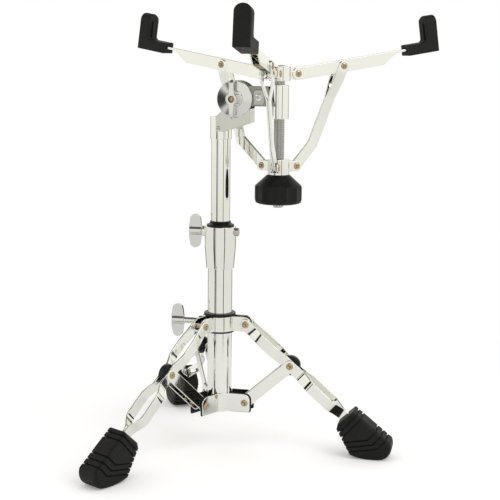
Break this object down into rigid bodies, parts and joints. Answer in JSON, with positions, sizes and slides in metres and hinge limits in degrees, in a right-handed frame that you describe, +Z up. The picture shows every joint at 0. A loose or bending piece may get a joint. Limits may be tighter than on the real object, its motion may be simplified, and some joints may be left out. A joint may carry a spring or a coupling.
{
  "type": "snare drum stand",
  "caption": "Folding snare drum stand: double-braced tripod with rubber feet, sliding post, tilter, and a gripping basket of hinged arms closed by a knob under it.",
  "frame": {"origin": "on the floor, on the axis of the base tube", "axes": "+Z up along the tubes, +X along the first leg and towards the basket's rod"},
  "size_m": [0.3586, 0.3877, 0.5056],
  "materials": {
    "polished_chrome": "polished chrome plate on pressed steel",
    "cast_chrome": "chrome plate on a slightly soft die casting",
    "dark_chrome": "darker nickel chrome plate",
    "plated_steel": "bright zinc plate on cut thread",
    "rivet_brass": "brass-tinted domed rivet heads",
    "black_nylon": "moulded black nylon",
    "knob_plastic": "moulded black plastic, satin",
    "foot_rubber": "moulded black rubber",
    "tip_rubber": "moulded black rubber"
  },
  "bodies": {
    "base": {"base_tube": "polished_chrome", "brace_hub_plates": "polished_chrome", "brace_hub_liners": "black_nylon", "brace_hub_rivets": "rivet_brass", "height_clamp": "polished_chrome", "height_clamp_stud": "plated_steel", "height_bushing": "black_nylon"},
    "height_screw": {"height_wing_screw": "cast_chrome"},
    "leg_collar": {"leg_collar_sleeve": "black_nylon", "leg_collar_plates": "polished_chrome", "leg_collar_rivets": "rivet_brass"},
    "leg_screw": {"leg_wing_screw": "cast_chrome"},
    "guide": {"post_guide": "black_nylon"},
    "post": {"upper_tube": "polished_chrome", "tilter_sleeve": "polished_chrome", "tilter_lower_bracket": "dark_chrome", "tilter_disc": "polished_chrome", "tilter_nut": "dark_chrome", "tilter_tube_rivet": "rivet_brass"},
    "tilter_bolt": {"tilter_wing_bolt": "cast_chrome"},
    "basket": {"tilter_upper_bracket": "polished_chrome", "tilter_bracket_screw": "plated_steel", "rod_sleeve": "polished_chrome", "basket_rod": "plated_steel", "basket_upper_hub": "polished_chrome", "basket_upper_rivets": "rivet_brass"},
    "grip_hub": {"basket_lower_hub": "polished_chrome", "basket_lower_rivets": "rivet_brass"},
    "knob": {"basket_knob": "knob_plastic"},
    "leg_1": {"leg_1_left_strip": "polished_chrome", "leg_1_right_strip": "polished_chrome", "leg_1_spacer": "black_nylon", "leg_1_rivet": "rivet_brass", "foot_1": "foot_rubber"},
    "brace_1": {"brace_1": "polished_chrome"},
    "arm_1": {"arm_1": "polished_chrome", "arm_1_tip": "tip_rubber", "arm_1_rivet": "rivet_brass"},
    "strut_1": {"strut_1": "polished_chrome"},
    "leg_2": {"leg_2_left_strip": "polished_chrome", "leg_2_right_strip": "polished_chrome", "leg_2_spacer": "black_nylon", "leg_2_rivet": "rivet_brass", "foot_2": "foot_rubber"},
    "brace_2": {"brace_2": "polished_chrome"},
    "arm_2": {"arm_2": "polished_chrome", "arm_2_tip": "tip_rubber", "arm_2_rivet": "rivet_brass"},
    "strut_2": {"strut_2": "polished_chrome"},
    "leg_3": {"leg_3_left_strip": "polished_chrome", "leg_3_right_strip": "polished_chrome", "leg_3_spacer": "black_nylon", "leg_3_rivet": "rivet_brass", "foot_3": "foot_rubber"},
    "brace_3": {"brace_3": "polished_chrome"},
    "arm_3": {"arm_3": "polished_chrome", "arm_3_tip": "tip_rubber", "arm_3_rivet": "rivet_brass"},
    "strut_3": {"strut_3": "polished_chrome"}
  },
  "joints": [
    {"name": "leg_collar_slide", "type": "slide", "parent": "base", "child": "leg_collar", "axis": [0, 0, 1], "range_m": [0, 0.0392]},
    {"name": "leg_screw_turn", "type": "hinge", "parent": "leg_collar", "child": "leg_screw", "pos_m": [0, 0, 0.14903], "axis": [1, 0, 0], "continuous": true},
    {"name": "height_screw_turn", "type": "hinge", "parent": "base", "child": "height_screw", "pos_m": [0, 0, 0.2556], "axis": [1, 0, 0], "continuous": true},
    {"name": "height_slide", "type": "slide", "parent": "base", "child": "guide", "axis": [0, 0, 1], "range_m": [-0.055, 0.07]},
    {"name": "post_swivel", "type": "hinge", "parent": "guide", "child": "post", "pos_m": [0, 0, 0.3], "axis": [0, 0, 1], "continuous": true},
    {"name": "tilter_bolt_turn", "type": "hinge", "parent": "post", "child": "tilter_bolt", "pos_m": [0.0185, 0, 0.408], "axis": [0, 1, 0], "continuous": true},
    {"name": "tilter_tilt", "type": "hinge", "parent": "post", "child": "basket", "pos_m": [0.0185, 0, 0.408], "axis": [0, -1, 0], "range_deg": [0, 80]},
    {"name": "grip_hub_slide", "type": "slide", "parent": "basket", "child": "grip_hub", "axis": [0, 0, 1], "range_m": [0, 0.0195]},
    {"name": "knob_turn", "type": "hinge", "parent": "grip_hub", "child": "knob", "pos_m": [0.067, 0, 0.3329], "axis": [0, 0, 1], "range_deg": [0, 3545.1]},
    {"name": "leg_1_fold", "type": "hinge", "parent": "leg_collar", "child": "leg_1", "pos_m": [0.032, 0, 0.14903], "axis": [0, 1, 0], "range_deg": [0, 26.6]},
    {"name": "brace_1_fold", "type": "hinge", "parent": "leg_1", "child": "brace_1", "pos_m": [0.08458, 0, 0.10252], "axis": [0, 1, 0], "range_deg": [-53.2, 0]},
    {"name": "leg_2_fold", "type": "hinge", "parent": "leg_collar", "child": "leg_2", "pos_m": [-0.016, 0.02771, 0.14903], "axis": [-0.866, -0.5, 0], "range_deg": [0, 26.6]},
    {"name": "brace_2_fold", "type": "hinge", "parent": "leg_2", "child": "brace_2", "pos_m": [-0.04229, 0.07325, 0.10252], "axis": [-0.866, -0.5, 0], "range_deg": [-53.2, 0]},
    {"name": "leg_3_fold", "type": "hinge", "parent": "leg_collar", "child": "leg_3", "pos_m": [-0.016, -0.02771, 0.14903], "axis": [0.866, -0.5, 0], "range_deg": [0, 26.6]},
    {"name": "brace_3_fold", "type": "hinge", "parent": "leg_3", "child": "brace_3", "pos_m": [-0.04229, -0.07325, 0.10252], "axis": [0.866, -0.5, 0], "range_deg": [-53.2, 0]},
    {"name": "arm_1_swing", "type": "hinge", "parent": "basket", "child": "arm_1", "pos_m": [0.08399, 0.01234, 0.4364], "axis": [0.5878, -0.809, 0], "range_deg": [0, 25.2]},
    {"name": "strut_1_swing", "type": "hinge", "parent": "arm_1", "child": "strut_1", "pos_m": [0.12985, 0.04567, 0.44538], "axis": [0.5878, -0.809, 0], "range_deg": [-21.2, 0]},
    {"name": "arm_2_swing", "type": "hinge", "parent": "basket", "child": "arm_2", "pos_m": [0.04782, 0.00854, 0.4364], "axis": [0.4067, 0.9135, 0], "range_deg": [0, 25.2]},
    {"name": "strut_2_swing", "type": "hinge", "parent": "arm_2", "child": "strut_2", "pos_m": [-0.00398, 0.0316, 0.44538], "axis": [0.4067, 0.9135, 0], "range_deg": [-21.2, 0]},
    {"name": "arm_3_swing", "type": "hinge", "parent": "basket", "child": "arm_3", "pos_m": [0.067, -0.021, 0.4364], "axis": [-1, 0, 0], "range_deg": [0, 25.2]},
    {"name": "strut_3_swing", "type": "hinge", "parent": "arm_3", "child": "strut_3", "pos_m": [0.067, -0.07769, 0.44538], "axis": [-1, 0, 0], "range_deg": [-21.2, 0]}
  ],
  "couplings": [
    {"joint": "knob_turn", "follows": "grip_hub_slide", "rad_per_m": 3141.6},
    {"joint": "leg_1_fold", "follows": "leg_collar_slide", "rad_per_m": 11.799},
    {"joint": "brace_1_fold", "follows": "leg_collar_slide", "rad_per_m": -23.598},
    {"joint": "leg_2_fold", "follows": "leg_collar_slide", "rad_per_m": 11.799},
    {"joint": "brace_2_fold", "follows": "leg_collar_slide", "rad_per_m": -23.598},
    {"joint": "leg_3_fold", "follows": "leg_collar_slide", "rad_per_m": 11.799},
    {"joint": "brace_3_fold", "follows": "leg_collar_slide", "rad_per_m": -23.598},
    {"joint": "arm_1_swing", "follows": "grip_hub_slide", "rad_per_m": 22.376},
    {"joint": "strut_1_swing", "follows": "grip_hub_slide", "rad_per_m": -18.684},
    {"joint": "arm_2_swing", "follows": "grip_hub_slide", "rad_per_m": 22.376},
    {"joint": "strut_2_swing", "follows": "grip_hub_slide", "rad_per_m": -18.684},
    {"joint": "arm_3_swing", "follows": "grip_hub_slide", "rad_per_m": 22.376},
    {"joint": "strut_3_swing", "follows": "grip_hub_slide", "rad_per_m": -18.684}
  ]
}
